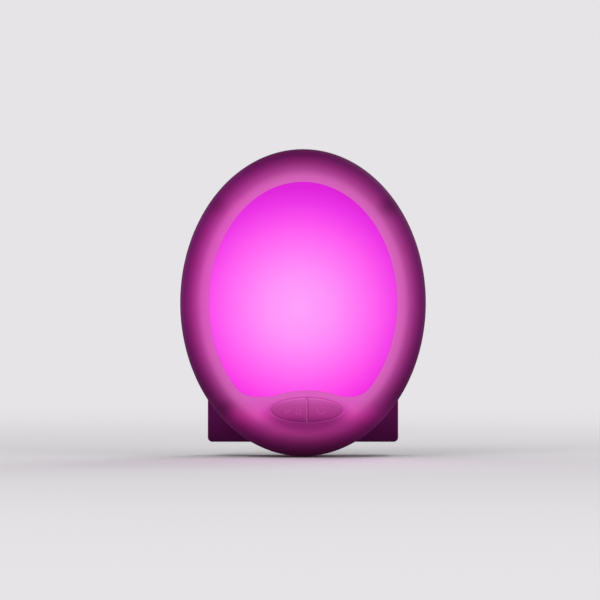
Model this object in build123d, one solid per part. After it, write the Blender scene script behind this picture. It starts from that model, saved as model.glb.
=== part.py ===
"""Plug-in night light: an elliptical lit case on a rectangular plug block, with two push-buttons.

X points right, Y into the wall and Z up. The origin lies on the plug face, midway between the blades.
A height in this file is a distance out from the wall, towards the viewer, along -Y.
"""

from build123d import *
from math import cos, radians, sin, sqrt
import os

# Clearances shared by all pieces
overrun = 1.0  # how far a cut runs past the material
fit_gap = 0.15  # between mouldings that locate each other
bond_gap = 0.1  # between the lens and the bezel behind it
rest_gap = 0.05  # between a moving piece and its stop
guide_gap = 0.06  # round a sliding stem or plunger
thread_gap = 0.05  # round a screw in its pilot hole
shank_gap = 0.3  # round a screw in a clearance hole
lead_gap = 0.1  # round a wire lead in a board

# Case: a bezel and a rear cover that meet at a parting plane
case_width = 80.0
case_height = 100.0
case_wall = 2.0
case_lift = 19.3  # case centre above the plug centre
rear_depth = 12.0  # back of the case to the parting plane
rear_round = 7.0
bezel_depth = 10.0  # parting plane to the edge of the crown
crown_rise = 4.0  # middle of the crown above its edge
front_round = 8.0
parting_chamfer = 0.3
lip_height = 2.0
lip_thickness = 1.0

# Lens and the ring of bezel round it
ring_side_width = 9.55
ring_top_width = 10.85
lens_sill = 4.25  # lens corners above the button centre
lens_corner = 8.0
lens_corner_share = 1.2  # limit of the corner, of the straight sill beside the arch
lens_recess = 0.15
lens_flange = 1.8
sill_flange = 0.6
flange_thickness = 1.5
arch_margin = 2.2  # bezel between the button and the lens above it
arch_side_margin = 3.7
arch_blend = 3.0

# Buttons: two halves of one ellipse
button_width = 23.0
button_height = 8.1
button_from_end = 15.3  # button centre to the lower end of the case
button_shift = 1.2  # button centre to the right of the case's middle
button_gap = 0.2
button_split = 0.4
button_proud = 0.9
button_edge = 0.35
button_flange = 1.2
button_flange_thickness = 1.2
button_travel = 0.4
stem_offset = 5.2
stem_radius = 1.6

# Signs sunk into the buttons: run and hold on the left, standby on the right
sign_depth = 0.35
sign_height = 3.3
sign_stroke = 0.55
sign_lift = 0.2  # signs above the button centre
run_sign_offset = 6.0
run_sign_width = 1.9
hold_sign_offset = 2.7
hold_bar_pitch = 1.15
standby_sign_offset = 4.8
standby_gap_angle = 35.0  # half of the break in the standby ring, in degrees

# Button guide, screwed to two posts of the bezel
guide_drop = 3.5  # crown edge down to the guide
guide_thickness = 1.5
guide_height = 8.0
guide_margin = 3.0
guide_post_offset = 15.5
guide_post_drop = 1.5
guide_post_radius = 2.2
guide_screw_bite = 2.0

# Case screws, at shares of the case's half width and half height
case_screw_width_share = 0.68
case_screw_height_share = 0.59
case_screw_radius = 1.3
case_head_radius = 2.4
case_head_height = 1.7
case_screw_bite = 7.0
case_boss_wall = 1.3
head_gap = 0.3
sink_depth = 3.0  # screw seat in the rear cover
well_wall = 1.3
well_floor = 3.0
pilot_margin = 0.5  # pilot hole beyond the screw's tip

# Plug block behind the case
block_width = 62.5
block_height = 52.8
block_depth = 13.0
block_wall = 2.2
block_corner = 1.5
block_inner_corner = 0.8
block_edge_round = 1.0
flange_round = 0.6
block_screw_bite = 7.0
block_boss_radius = 2.6
block_boss_overlap = 0.5  # how far a boss runs into the walls beside it
seat_height = 1.5
seat_thickness = 1.2
seat_side_share = 0.3  # of the block's height
seat_end_share = 0.55  # of the block's width

# Shallow bare panel sunk into the plug face, below the blades
panel_width = 32.0
panel_height = 11.0
panel_corner = 0.8
panel_depth = 0.3
panel_drop = 14.5

# Plug blades
blade_spacing = 12.7
blade_thickness = 1.5
blade_length = 17.0
live_blade_width = 6.35
neutral_blade_width = 7.95
blade_tip_round = 1.8
blade_hole_radius = 1.6
blade_hole_from_face = 11.7
shoulder_overhang = 2.0
shoulder_depth = 2.0
tail_width = 3.0
tail_proud = 1.0
slot_gap = 0.12

# Blade retainer
retainer_width = 34.0
retainer_height = 14.0
retainer_thickness = 2.5
retainer_corner = 1.5
retainer_screw_offset = 13.0
retainer_boss_radius = 2.4
retainer_screw_bite = 2.5

# Small screws
board_screw_radius = 0.9
board_head_radius = 1.7
board_head_height = 1.2
board_screw_bite = 4.0
recess_share = 0.55  # of a head's height
recess_span_share = 0.62  # of a head's diameter
recess_slot_share = 0.2  # of a head's diameter
head_round_share = 0.35  # of a head's height

# Driver board, in the block
board_thickness = 1.6
board_corner = 1.0
driver_clearance = 2.4  # driver board's front below the rear cover
driver_side_gap = 1.1
driver_end_gap = 4.1
driver_post_radius = 2.2
driver_post_inset = 3.5
opening_side_margin = 4.0
opening_end_margin = 3.0
opening_corner = 2.0

# Driver parts, placed at shares of the driver board's half width and half height
lead_radius = 0.3
lead_length = 2.6  # below the board's face
film_width = 13.0
film_depth = 6.0
film_height = 9.0
film_round = 0.8
film_pitch = 10.0
film_shares = (-0.32, 0.405)
smoothing_radius = 4.0
smoothing_height = 9.0
smoothing_round = 0.6
smoothing_bead = 0.35
smoothing_bead_height = 1.8
smoothing_pitch = 3.5
smoothing_shares = (0.45, 0.43)
bridge_width = 8.4
bridge_depth = 6.4
bridge_height = 3.2
bridge_standoff = 0.6
bridge_pitch = 5.0
bridge_chamfer = 0.5
bridge_shares = (-0.42, -0.4)
resistor_radius = 1.8
resistor_length = 9.0
resistor_end = 1.5
resistor_round = 0.7
resistor_shares = (0.36, -0.33)
chip_width = 4.9
chip_depth = 3.9
chip_height = 1.5
chip_standoff = 0.1
chip_chamfer = 0.2
chip_dimple_radius = 0.35
chip_dimple_depth = 0.1
chip_dimple_inset = 0.8
chip_pins_a_side = 4
chip_pin_pitch = 1.27
chip_pin_width = 0.4
chip_pin_thickness = 0.2
chip_pin_reach = 1.0
chip_pin_rise = 0.7
driver_chip_shares = (0.4, -0.68)

# Header that joins the two boards
header_pins = 4
header_pitch = 2.54
header_pin_side = 0.64
header_pin_proud = 1.0
header_spacer_height = 2.5
header_spacer_depth = 2.4
header_height_share = 0.73  # of the driver board's half height

# LED board, on posts of the rear cover
led_board_side_gap = 12.0
led_board_end_gap = 8.0
led_post_height = 6.4
led_post_radius = 2.5
led_post_width_share = 0.785  # of the LED board's half width
led_post_height_shares = (0.38, -0.285)  # of the LED board's half height
led_side = 5.0
led_height = 1.6
led_cavity_radius = 1.9
led_cavity_depth = 0.6
led_width_shares = (-0.36, 0.36)
led_height_shares = (0.19, -0.24)
controller_height_share = -0.48
led_resistor_count = 6
led_resistor_pitch = 5.0
led_resistor_width = 2.0
led_resistor_depth = 1.25
led_resistor_height = 0.55
led_resistor_height_share = 0.48

# Tactile switches under the buttons
switch_side = 6.0
switch_height = 3.1
switch_standoff = 0.1
switch_floor = 1.0
switch_cavity_radius = 2.4
switch_cover_thickness = 0.3
plunger_radius = 1.75
plunger_rim = 0.5
plunger_reach = 5.0  # plunger tip above the board
dome_radius = 2.1
dome_slack = 0.2  # height left in a pressed dome
dome_thickness = 0.12
terminal_width = 0.7
terminal_thickness = 0.3
terminal_pitch = 4.5
terminal_rise = 1.5
terminal_proud = 1.2

# Heights and places that follow from the sizes above
parting = block_depth + rear_depth
crown_edge = parting + bezel_depth
crown_radius = ((case_height / 2) ** 2 + crown_rise**2) / (2 * crown_rise)
button_z = case_lift - case_height / 2 + button_from_end
lens_half_width = case_width / 2 - ring_side_width
lens_half_height = case_height / 2 - ring_top_width
arch_half_width = button_width / 2 + arch_side_margin
arch_half_height = button_height / 2 + arch_margin
sill_drop = case_lift - button_z - lens_sill
sill_end = lens_half_width * sqrt(1 - (sill_drop / lens_half_height) ** 2)
arch_end = abs(button_shift) + arch_half_width * sqrt(1 - (lens_sill / arch_half_height) ** 2)
lens_corner_radius = min(lens_corner, lens_corner_share * (sill_end - arch_end))
case_screw_x = case_screw_width_share * case_width / 2
case_screw_rise = case_screw_height_share * case_height / 2
upper_screw_z = case_lift + case_screw_rise
lower_screw_z = case_lift - case_screw_rise
well_bore = case_head_radius + head_gap
well_radius = well_bore + well_wall
bezel_boss_radius = case_screw_radius + case_boss_wall
case_pilot = case_screw_radius + thread_gap
case_clearance = case_screw_radius + shank_gap
case_screw_tip = parting + case_screw_bite
board_pilot = board_screw_radius + thread_gap
board_clearance = board_screw_radius + shank_gap
header_hole = header_pin_side + lead_gap
inner_block_width = block_width - 2 * block_wall
inner_block_height = block_height - 2 * block_wall
block_screw_x = inner_block_width / 2 + block_boss_overlap - block_boss_radius
block_screw_z = inner_block_height / 2 + block_boss_overlap - block_boss_radius
retainer_low = block_wall + shoulder_depth
retainer_high = retainer_low + retainer_thickness
driver_front = block_depth - driver_clearance
driver_back = driver_front - board_thickness
driver_width = 2 * (case_screw_x - well_radius - driver_side_gap)
driver_height = inner_block_height - 2 * driver_end_gap
driver_post_x = driver_width / 2 - driver_post_inset
driver_post_z = driver_height / 2 - driver_post_inset
header_z = header_height_share * driver_height / 2
led_back = block_depth + case_wall + led_post_height
led_front = led_back + board_thickness
led_half_width = case_width / 2 - led_board_side_gap
led_half_height = case_height / 2 - led_board_end_gap
guide_high = crown_edge - guide_drop
guide_low = guide_high - guide_thickness
guide_post_z = button_z - guide_post_drop
plunger_tip = led_front + plunger_reach
dome_floor = led_front + switch_standoff + switch_floor
dome_rise = button_travel + dome_slack
sides = (-1, 1)
guide_post_places = [(button_shift + side * guide_post_offset, guide_post_z) for side in sides]
block_screw_places = [(side * block_screw_x, block_screw_z) for side in sides]
upper_screw_places = [(side * case_screw_x, upper_screw_z) for side in sides]
lower_screw_places = [(side * case_screw_x, lower_screw_z) for side in sides]
retainer_screw_places = [(side * retainer_screw_offset, 0) for side in sides]
driver_post_places = [(i * driver_post_x, k * driver_post_z) for i in sides for k in sides]
case_screw_places = upper_screw_places + lower_screw_places
led_post_places = [
    (side * led_post_width_share * led_half_width, case_lift + share * led_half_height)
    for side in sides
    for share in led_post_height_shares
]


def slab(outline, low, high):
    """Prism of an outline in X and Z between two heights above the wall."""
    return extrude(Plane.XZ.offset(min(low, high)) * outline, abs(high - low))


def disc(x, z, radius, low, high):
    return slab(Pos(x, z) * Circle(radius), low, high)


def block_of(x, z, width, depth, low, high):
    return slab(Pos(x, z) * Rectangle(width, depth), low, high)


def group(solids):
    return Compound(children=list(solids))


def stem_x(side):
    """Place across of a button's stem and of the switch under it."""
    return button_shift + side * stem_offset


def on_driver_board(shares):
    """Place on the driver board, from shares of its half width and half height."""
    return shares[0] * driver_width / 2, shares[1] * driver_height / 2


def spun_form(profile, inset):
    """Turns a profile of height and radius about the case's axis, and narrows it to the case's ellipse."""
    narrowing = (case_width / 2 - inset) / (case_height / 2 - inset)
    form = revolve(Plane.YZ * profile, Axis.Y, 360)
    return Pos(0, 0, case_lift) * scale(form, by=(narrowing, 1, 1))


def corner_at(profile, height, radius):
    """The profile's vertex at a height and radius."""
    return profile.vertices().sort_by_distance((-height, radius, 0))[0]


def crown_form(inset, low):
    """The crowned front of the case, shrunk all round by an inset, from a height up."""
    rim = case_height / 2 - inset
    reach = crown_radius - inset
    center = crown_edge + crown_rise - crown_radius

    def crown(radius):
        return center + sqrt(reach**2 - radius**2)

    profile = make_face(
        [
            Line((-low, 0), (-crown(0), 0)),
            ThreePointArc((-crown(0), 0), (-crown(rim / 2), rim / 2), (-crown(rim), rim)),
            Line((-crown(rim), rim), (-low, rim)),
            Line((-low, rim), (-low, 0)),
        ]
    )
    return spun_form(fillet(corner_at(profile, crown(rim), rim), front_round - inset), inset)


def rear_form(inset, high):
    """The round-edged back of the case, shrunk all round by an inset, up to a height."""
    rim = case_height / 2 - inset
    low = block_depth + inset
    profile = make_face(Polyline((-low, 0), (-high, 0), (-high, rim), (-low, rim), close=True))
    return spun_form(fillet(corner_at(profile, low, rim), rear_round - inset), inset)


def case_ring(outer_inset, inner_inset, low, high):
    """Straight elliptical ring between two insets of the case's outline."""
    outer = Ellipse(case_width / 2 - outer_inset, case_height / 2 - outer_inset)
    inner = Ellipse(case_width / 2 - inner_inset, case_height / 2 - inner_inset)
    return slab(Pos(0, case_lift) * (outer - inner), low, high)


def parting_groove(outward):
    """Chamfer along the outer edge of the parting plane, on the side that outward points to."""
    rim = case_height / 2
    edge = Polyline(
        (-parting, rim - parting_chamfer),
        (-parting, rim + overrun),
        (-parting - outward * (parting_chamfer + overrun), rim + overrun),
        close=True,
    )
    return spun_form(make_face(edge), 0)


def lens_outline(grow, sill_grow):
    """Prism of the lens opening: an ellipse cut off by a sill that arches over the buttons."""
    sill = button_z + lens_sill - sill_grow
    arch = Ellipse(arch_half_width - sill_grow, arch_half_height - sill_grow)
    ellipse = Ellipse(lens_half_width + grow, lens_half_height + grow)
    below = Pos(0, sill - case_height / 2) * Rectangle(case_width, case_height)
    outline = Pos(0, case_lift) * ellipse - below - Pos(button_shift, button_z) * arch
    prism = slab(outline, parting, crown_edge + crown_rise + overrun)
    uprights = prism.edges().filter_by(Axis.Y).filter_by(lambda edge: edge.center().Z < sill + overrun)
    by_reach = uprights.sort_by(lambda edge: abs(edge.center().X))
    prism = fillet(by_reach[-2:], lens_corner_radius + grow)
    blends = prism.edges().filter_by(Axis.Y).filter_by(lambda edge: edge.center().Z < sill + overrun)
    return fillet(blends.sort_by(lambda edge: abs(edge.center().X))[:2], arch_blend)


def button_outline(grow):
    return Pos(button_shift, button_z) * Ellipse(button_width / 2 + grow, button_height / 2 + grow)


def screw(x, z, seat, tip, radius, head_radius, head_height):
    """Pan-head screw with a cross recess, from its seat to its tip."""
    back = -1 if tip > seat else 1
    top = seat + back * head_height
    span = 2 * head_radius * recess_span_share
    slot = 2 * head_radius * recess_slot_share
    head = disc(x, z, head_radius, seat, top)
    rim = head.edges().sort_by(lambda edge: -back * edge.center().Y)[-1]
    head = fillet(rim, head_height * head_round_share)
    cross = Pos(x, z) * (Rectangle(span, slot) + Rectangle(slot, span))
    recess = slab(cross, top, top - back * head_height * recess_share)
    return head + disc(x, z, radius, seat, tip) - recess


def case_screw(x, z, seat, tip):
    return screw(x, z, seat, tip, case_screw_radius, case_head_radius, case_head_height)


def board_screw(x, z, seat, tip):
    return screw(x, z, seat, tip, board_screw_radius, board_head_radius, board_head_height)


def make_bezel():
    crown_top = crown_edge + crown_rise + overrun
    shell = crown_form(0, parting) - crown_form(case_wall, parting - overrun)
    trim = crown_form(case_wall / 2, parting)
    for x, z in case_screw_places:
        shell += disc(x, z, bezel_boss_radius, parting, crown_top) & trim
    for x, z in guide_post_places:
        shell += disc(x, z, guide_post_radius, guide_high, crown_top) & trim
    shell -= lens_outline(0, 0)
    shell -= slab(button_outline(0), parting, crown_top)
    for x, z in case_screw_places:
        shell -= disc(x, z, case_pilot, parting, case_screw_tip + pilot_margin)
    for x, z in guide_post_places:
        shell -= disc(x, z, board_pilot, guide_high, guide_high + guide_screw_bite + pilot_margin)
    return shell - parting_groove(1)


def make_lens():
    flange_inset = case_wall + bond_gap
    face = crown_form(lens_recess, parting) & lens_outline(-bond_gap, -bond_gap)
    flange = crown_form(flange_inset, parting) & lens_outline(lens_flange, sill_flange)
    lens = face + flange - crown_form(flange_inset + flange_thickness, parting - overrun)
    for x, z in case_screw_places:
        lens -= disc(x, z, bezel_boss_radius + fit_gap, parting, crown_edge + crown_rise)
    return lens


def run_and_hold_sign():
    """A triangle and two bars."""
    triangle = Polyline((0, -sign_height / 2), (run_sign_width, 0), (0, sign_height / 2), close=True)
    run = Pos(-run_sign_offset - run_sign_width / 2, 0) * make_face(triangle)
    bars = [
        Pos(-hold_sign_offset + side * hold_bar_pitch / 2, 0) * Rectangle(sign_stroke, sign_height)
        for side in sides
    ]
    return run + bars[0] + bars[1]


def standby_sign():
    """A ring broken at the top by a short bar."""
    outer = sign_height / 2
    reach = 2 * outer
    sweep = radians(standby_gap_angle)
    corner = reach * sin(sweep), reach * cos(sweep)
    wedge = make_face(Polyline((0, 0), corner, (-corner[0], corner[1]), close=True))
    bar = Pos(0, outer / 2 + sign_stroke / 2) * Rectangle(sign_stroke, outer)
    ring = Circle(outer) - Circle(outer - sign_stroke) - wedge
    return Pos(standby_sign_offset, 0) * (ring + bar)


def make_button(side, sign):
    """One half of the button ellipse, with a retaining flange and a stem that reaches its switch."""
    flange_low = case_wall + rest_gap + button_flange_thickness
    crown_top = crown_edge + crown_rise + button_proud + overrun
    whole_face = crown_form(-button_proud, parting) & slab(button_outline(-button_gap), parting, crown_top)
    whole_flange = crown_form(case_wall + rest_gap, parting) & slab(
        button_outline(button_flange - button_gap), parting, crown_top
    )
    whole = whole_face + whole_flange - crown_form(flange_low, parting - overrun)
    middle = button_shift + side * (button_split + button_width) / 2
    half = whole & block_of(middle, button_z, button_width, 2 * button_height, parting, crown_top)
    front_edges = half.faces().sort_by(lambda face: -face.center().Y)[-1].edges()
    half = fillet(front_edges, button_edge)
    half += disc(stem_x(side), button_z, stem_radius, plunger_tip + rest_gap, crown_edge)
    sunk = slab(Pos(button_shift, button_z + sign_lift) * sign, parting, crown_top)
    return half - (sunk - crown_form(sign_depth - button_proud, parting - overrun))


def make_guide():
    """Plate behind the bezel that the button stems slide in."""
    width = 2 * (guide_post_offset + guide_margin)
    outline = RectangleRounded(width, guide_height, guide_margin)
    plate = slab(Pos(button_shift, (button_z + guide_post_z) / 2) * outline, guide_low, guide_high)
    for side in sides:
        plate -= disc(stem_x(side), button_z, stem_radius + guide_gap, guide_low, guide_high)
    for x, z in guide_post_places:
        plate -= disc(x, z, board_clearance, guide_low, guide_high)
    return plate


def make_guide_screws():
    tip = guide_high + guide_screw_bite
    return group(board_screw(x, z, guide_low, tip) for x, z in guide_post_places)


def seat_bars():
    """Four bars on the back of the rear cover that locate the plug block."""
    low = block_depth - seat_height
    side_x = inner_block_width / 2 - fit_gap - seat_thickness / 2
    end_z = inner_block_height / 2 - fit_gap - seat_thickness / 2
    side_length = seat_side_share * block_height
    end_length = seat_end_share * block_width
    side_z = (lower_screw_z + block_screw_z) / 2
    bars = [block_of(side * side_x, side_z, seat_thickness, side_length, low, block_depth) for side in sides]
    bars += [block_of(0, side * end_z, end_length, seat_thickness, low, block_depth) for side in sides]
    return bars


def make_rear_cover():
    floor = block_depth + case_wall
    outer = rear_form(0, parting)
    shell = outer - rear_form(case_wall, parting + overrun)
    plate = slab(RectangleRounded(block_width, block_height, block_corner), block_depth, floor)
    shell += fillet(plate.faces().sort_by(Axis.Y)[0].edges(), flange_round)
    lip_inset = case_wall + fit_gap
    lip = case_ring(lip_inset, lip_inset + lip_thickness, parting - lip_height, parting + lip_height)
    lip += case_ring(case_wall / 2, lip_inset + lip_thickness, parting - lip_height, parting)
    for x, z in case_screw_places:
        lip -= disc(x, z, bezel_boss_radius + fit_gap, parting, parting + lip_height)
    shell += lip
    for bar in seat_bars():
        shell += bar
    for x, z in case_screw_places:
        shell += disc(x, z, well_radius, block_depth, parting) & outer
    for x, z in led_post_places:
        shell += disc(x, z, led_post_radius, block_depth, led_back)
    opening = RectangleRounded(
        driver_width - 2 * opening_side_margin, driver_height - 2 * opening_end_margin, opening_corner
    )
    shell -= slab(opening, block_depth - overrun, floor + overrun)
    for x, z in case_screw_places:
        shell -= disc(x, z, case_clearance, block_depth - overrun, parting + overrun)
    for x, z in upper_screw_places:
        shell -= disc(x, z, well_bore, block_depth - overrun, block_depth + sink_depth)
    for x, z in block_screw_places:
        shell -= disc(x, z, case_clearance, block_depth - overrun, floor + overrun)
    for x, z in led_post_places:
        shell -= disc(x, z, board_pilot, led_back - board_screw_bite - pilot_margin, led_back)
    return shell - parting_groove(-1)


def blade_slot(side, width, low, high):
    return block_of(
        side * blade_spacing / 2, 0, blade_thickness + 2 * slot_gap, width + 2 * slot_gap, low, high
    )


def make_plug_block():
    outline = RectangleRounded(block_width, block_height, block_corner)
    block = slab(outline, 0, block_depth)
    block = fillet(block.faces().sort_by(Axis.Y)[-1].edges(), block_edge_round)
    inner = RectangleRounded(inner_block_width, inner_block_height, block_inner_corner)
    block -= slab(inner, block_wall, block_depth + overrun)
    for x, z in lower_screw_places:
        block += disc(x, z, well_radius, block_edge_round, block_depth)
    for x, z in block_screw_places:
        block += disc(x, z, block_boss_radius, block_wall, block_depth)
    for x, z in retainer_screw_places:
        block += disc(x, z, retainer_boss_radius, block_wall, retainer_low)
    for x, z in driver_post_places:
        block += disc(x, z, driver_post_radius, block_wall, driver_back)
    for x, z in lower_screw_places:
        block -= disc(x, z, well_bore, -overrun, block_depth - well_floor)
        block -= disc(x, z, case_clearance, 0, block_depth + overrun)
    for x, z in block_screw_places:
        block -= disc(x, z, case_pilot, block_depth - block_screw_bite - pilot_margin, block_depth)
    for x, z in retainer_screw_places:
        block -= disc(x, z, board_pilot, retainer_low - retainer_screw_bite - pilot_margin, retainer_low)
    for x, z in driver_post_places:
        block -= disc(x, z, board_pilot, driver_back - board_screw_bite - pilot_margin, driver_back)
    for side, width in ((-1, live_blade_width), (1, neutral_blade_width)):
        block -= blade_slot(side, width, -overrun, block_wall + overrun)
    panel = Pos(0, -panel_drop) * RectangleRounded(panel_width, panel_height, panel_corner)
    return block - slab(panel, -overrun, panel_depth)


def make_blade(side, width):
    """Flat contact blade with a shoulder behind the plug face and a solder tail."""
    tail_end = driver_front + tail_proud
    outside = Pos((blade_length - block_wall) / 2, 0) * Rectangle(blade_length + block_wall, width)
    tip = outside.vertices().sort_by(Axis.X)[-2:]
    outline = fillet(tip, blade_tip_round)
    shoulder = Rectangle(shoulder_depth, width + 2 * shoulder_overhang)
    shoulder = Pos(-block_wall - shoulder_depth / 2, 0) * shoulder
    tail = Pos(-(retainer_low + tail_end) / 2, 0) * Rectangle(tail_end - retainer_low, tail_width)
    outline = outline + shoulder + tail - Pos(blade_hole_from_face, 0) * Circle(blade_hole_radius)
    plane = Plane.YZ.offset(side * blade_spacing / 2)
    return extrude(plane * outline, blade_thickness / 2, both=True)


def make_retainer():
    outline = RectangleRounded(retainer_width, retainer_height, retainer_corner)
    plate = slab(outline, retainer_low, retainer_high)
    for side in sides:
        plate -= blade_slot(side, tail_width, retainer_low - overrun, retainer_high + overrun)
    for x, z in retainer_screw_places:
        plate -= disc(x, z, board_clearance, retainer_low, retainer_high)
        plate -= disc(x, z, board_head_radius + shank_gap, retainer_high - board_head_height, retainer_high)
    return plate


def make_retainer_screws():
    seat = retainer_high - board_head_height
    tip = retainer_low - retainer_screw_bite
    return group(board_screw(x, z, seat, tip) for x, z in retainer_screw_places)


def make_case_screws(places, seat):
    return group(case_screw(x, z, seat, case_screw_tip) for x, z in places)


def make_block_screws():
    seat = block_depth + case_wall
    tip = block_depth - block_screw_bite
    return group(case_screw(x, z, seat, tip) for x, z in block_screw_places)


def header_places():
    first = -(header_pins - 1) / 2
    return [((first + pin) * header_pitch, header_z) for pin in range(header_pins)]


def film_leads():
    x, z = on_driver_board(film_shares)
    return [(x + side * film_pitch / 2, z) for side in sides]


def smoothing_leads():
    x, z = on_driver_board(smoothing_shares)
    return [(x + side * smoothing_pitch / 2, z) for side in sides]


def bridge_leads():
    x, z = on_driver_board(bridge_shares)
    return [(x + i * bridge_pitch / 2, z + k * bridge_pitch / 2) for i in sides for k in sides]


def resistor_leads():
    x, z = on_driver_board(resistor_shares)
    return [(x + side * (resistor_length / 2 + resistor_end), z) for side in sides]


def make_driver_board():
    board = slab(RectangleRounded(driver_width, driver_height, board_corner), driver_back, driver_front)
    low, high = driver_back - overrun, driver_front + overrun
    for side in sides:
        board -= blade_slot(side, tail_width, low, high)
    for x, z in driver_post_places:
        board -= disc(x, z, board_clearance, low, high)
    for x, z in film_leads() + smoothing_leads() + bridge_leads() + resistor_leads():
        board -= disc(x, z, lead_radius + lead_gap, low, high)
    for x, z in header_places():
        board -= block_of(x, z, header_hole, header_hole, low, high)
    return board


def make_driver_board_screws():
    tip = driver_back - board_screw_bite
    return group(board_screw(x, z, driver_front, tip) for x, z in driver_post_places)


def leads(places, top):
    return [disc(x, z, lead_radius, driver_front - lead_length, top) for x, z in places]


def make_film_capacitor():
    x, z = on_driver_board(film_shares)
    body = block_of(x, z, film_width, film_depth, driver_front, driver_front + film_height)
    back = body.faces().sort_by(Axis.Y)[-1]
    body = fillet(body.edges() - back.edges(), film_round)
    return group([body, *leads(film_leads(), driver_front)])


def make_smoothing_capacitor():
    x, z = on_driver_board(smoothing_shares)
    can = disc(x, z, smoothing_radius, driver_front, driver_front + smoothing_height)
    top = can.edges().sort_by(Axis.Y)[0]
    can = fillet(top, smoothing_round)
    bead = Pos(x, -driver_front - smoothing_bead_height, z) * Rot(90, 0, 0)
    can -= bead * Torus(smoothing_radius + smoothing_bead / 2, smoothing_bead)
    return group([can, *leads(smoothing_leads(), driver_front)])


def make_bridge_rectifier():
    x, z = on_driver_board(bridge_shares)
    low = driver_front + bridge_standoff
    body = block_of(x, z, bridge_width, bridge_depth, low, low + bridge_height)
    body = chamfer(body.faces().sort_by(Axis.Y)[0].edges(), bridge_chamfer)
    return group([body, *leads(bridge_leads(), low)])


def make_fusible_resistor():
    x, z = on_driver_board(resistor_shares)
    axis_y = -driver_front - resistor_radius
    body = Pos(x, axis_y, z) * Rot(0, 90, 0) * Cylinder(resistor_radius, resistor_length)
    body = fillet(body.edges().filter_by(GeomType.CIRCLE), resistor_round)
    wire = Cylinder(lead_radius, resistor_length + 2 * resistor_end)
    body += Pos(x, axis_y, z) * Rot(0, 90, 0) * wire
    for end, z in resistor_leads():
        body += disc(end, z, lead_radius, driver_front - lead_length, -axis_y)
        body += Pos(end, axis_y, z) * Sphere(lead_radius)
    return body


def make_chip(x, z, board):
    """Small eight-legged chip body, with a dimple at its first leg."""
    low = board + chip_standoff
    high = low + chip_height
    body = block_of(x, z, chip_width, chip_depth, low, high)
    body = chamfer(body.faces().sort_by(Axis.Y)[0].edges(), chip_chamfer)
    corner_x = x - chip_width / 2 + chip_dimple_inset
    corner_z = z - chip_depth / 2 + chip_dimple_inset
    return body - disc(corner_x, corner_z, chip_dimple_radius, high - chip_dimple_depth, high)


def make_chip_legs(x, z, board):
    """Bent legs along both long sides of a chip."""
    first = -(chip_pins_a_side - 1) / 2
    legs = []
    for side in sides:
        for pin in range(chip_pins_a_side):
            leg_x = x + (first + pin) * chip_pin_pitch
            foot_z = z + side * (chip_depth + chip_pin_reach) / 2
            rise_z = z + side * (chip_depth + chip_pin_thickness) / 2
            sole = board + chip_pin_thickness
            foot = block_of(leg_x, foot_z, chip_pin_width, chip_pin_reach, board, sole)
            rise = block_of(leg_x, rise_z, chip_pin_width, chip_pin_thickness, board, board + chip_pin_rise)
            legs.append(foot + rise)
    return group(legs)


def controller_place():
    return 0, case_lift + controller_height_share * led_half_height


def make_header_pins():
    low, high = driver_back - header_pin_proud, led_front + header_pin_proud
    return group(block_of(x, z, header_pin_side, header_pin_side, low, high) for x, z in header_places())


def make_header_spacer():
    width = header_pins * header_pitch
    low, high = driver_front, driver_front + header_spacer_height
    spacer = block_of(0, header_z, width, header_spacer_depth, low, high)
    for x, z in header_places():
        spacer -= block_of(x, z, header_hole, header_hole, low - overrun, high + overrun)
    return spacer


def switch_terminal_places(side):
    x = stem_x(side)
    reach = switch_side / 2 + terminal_thickness / 2
    return [(x + i * reach, button_z + k * terminal_pitch / 2) for i in sides for k in sides]


def make_led_board():
    low, high = led_back - overrun, led_front + overrun
    board = slab(Pos(0, case_lift) * Ellipse(led_half_width, led_half_height), led_back, led_front)
    for x, z in led_post_places:
        board -= disc(x, z, board_clearance, low, high)
    for x, z in header_places():
        board -= block_of(x, z, header_hole, header_hole, low, high)
    for x, z in switch_terminal_places(-1) + switch_terminal_places(1):
        board -= block_of(x, z, terminal_thickness + lead_gap, terminal_width + lead_gap, low, high)
    return board


def make_led_board_screws():
    return group(board_screw(x, z, led_front, led_back - board_screw_bite) for x, z in led_post_places)


def led_places():
    columns = [share * led_half_width for share in led_width_shares]
    rows = [case_lift + share * led_half_height for share in led_height_shares]
    return [(x, z) for x in columns for z in rows]


def make_led_packages():
    high = led_front + led_height
    return group(
        block_of(x, z, led_side, led_side, led_front, high)
        - disc(x, z, led_cavity_radius, high - led_cavity_depth, high)
        for x, z in led_places()
    )


def make_led_windows():
    low = led_front + led_height - led_cavity_depth
    high = led_front + led_height - rest_gap
    return group(disc(x, z, led_cavity_radius - rest_gap, low, high) for x, z in led_places())


def make_led_resistors():
    first = -(led_resistor_count - 1) / 2
    columns = [(first + i) * led_resistor_pitch for i in range(led_resistor_count)]
    z = case_lift + led_resistor_height_share * led_half_height
    high = led_front + led_resistor_height
    return group(block_of(x, z, led_resistor_depth, led_resistor_width, led_front, high) for x in columns)


def make_switch_base(side):
    low, high = led_front + switch_standoff, led_front + switch_height
    x = stem_x(side)
    base = block_of(x, button_z, switch_side, switch_side, low, high)
    return base - disc(x, button_z, switch_cavity_radius, dome_floor, high)


def make_switch_dome(side):
    """Thin snap dome on the floor of the switch, which returns the plunger."""
    radius = (dome_radius**2 + dome_rise**2) / (2 * dome_rise)
    center = Pos(stem_x(side), -dome_floor - dome_rise + radius, button_z)
    cap = center * Sphere(radius) - center * Sphere(radius - dome_thickness)
    return cap & disc(stem_x(side), button_z, dome_radius, dome_floor, dome_floor + dome_rise)


def make_switch_plunger(side):
    x = stem_x(side)
    rim_low = dome_floor + dome_rise + rest_gap
    rim_high = led_front + switch_height - rest_gap
    rim = disc(x, button_z, plunger_radius + plunger_rim, rim_low, rim_high)
    return rim + disc(x, button_z, plunger_radius, rim_high, plunger_tip)


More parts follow.
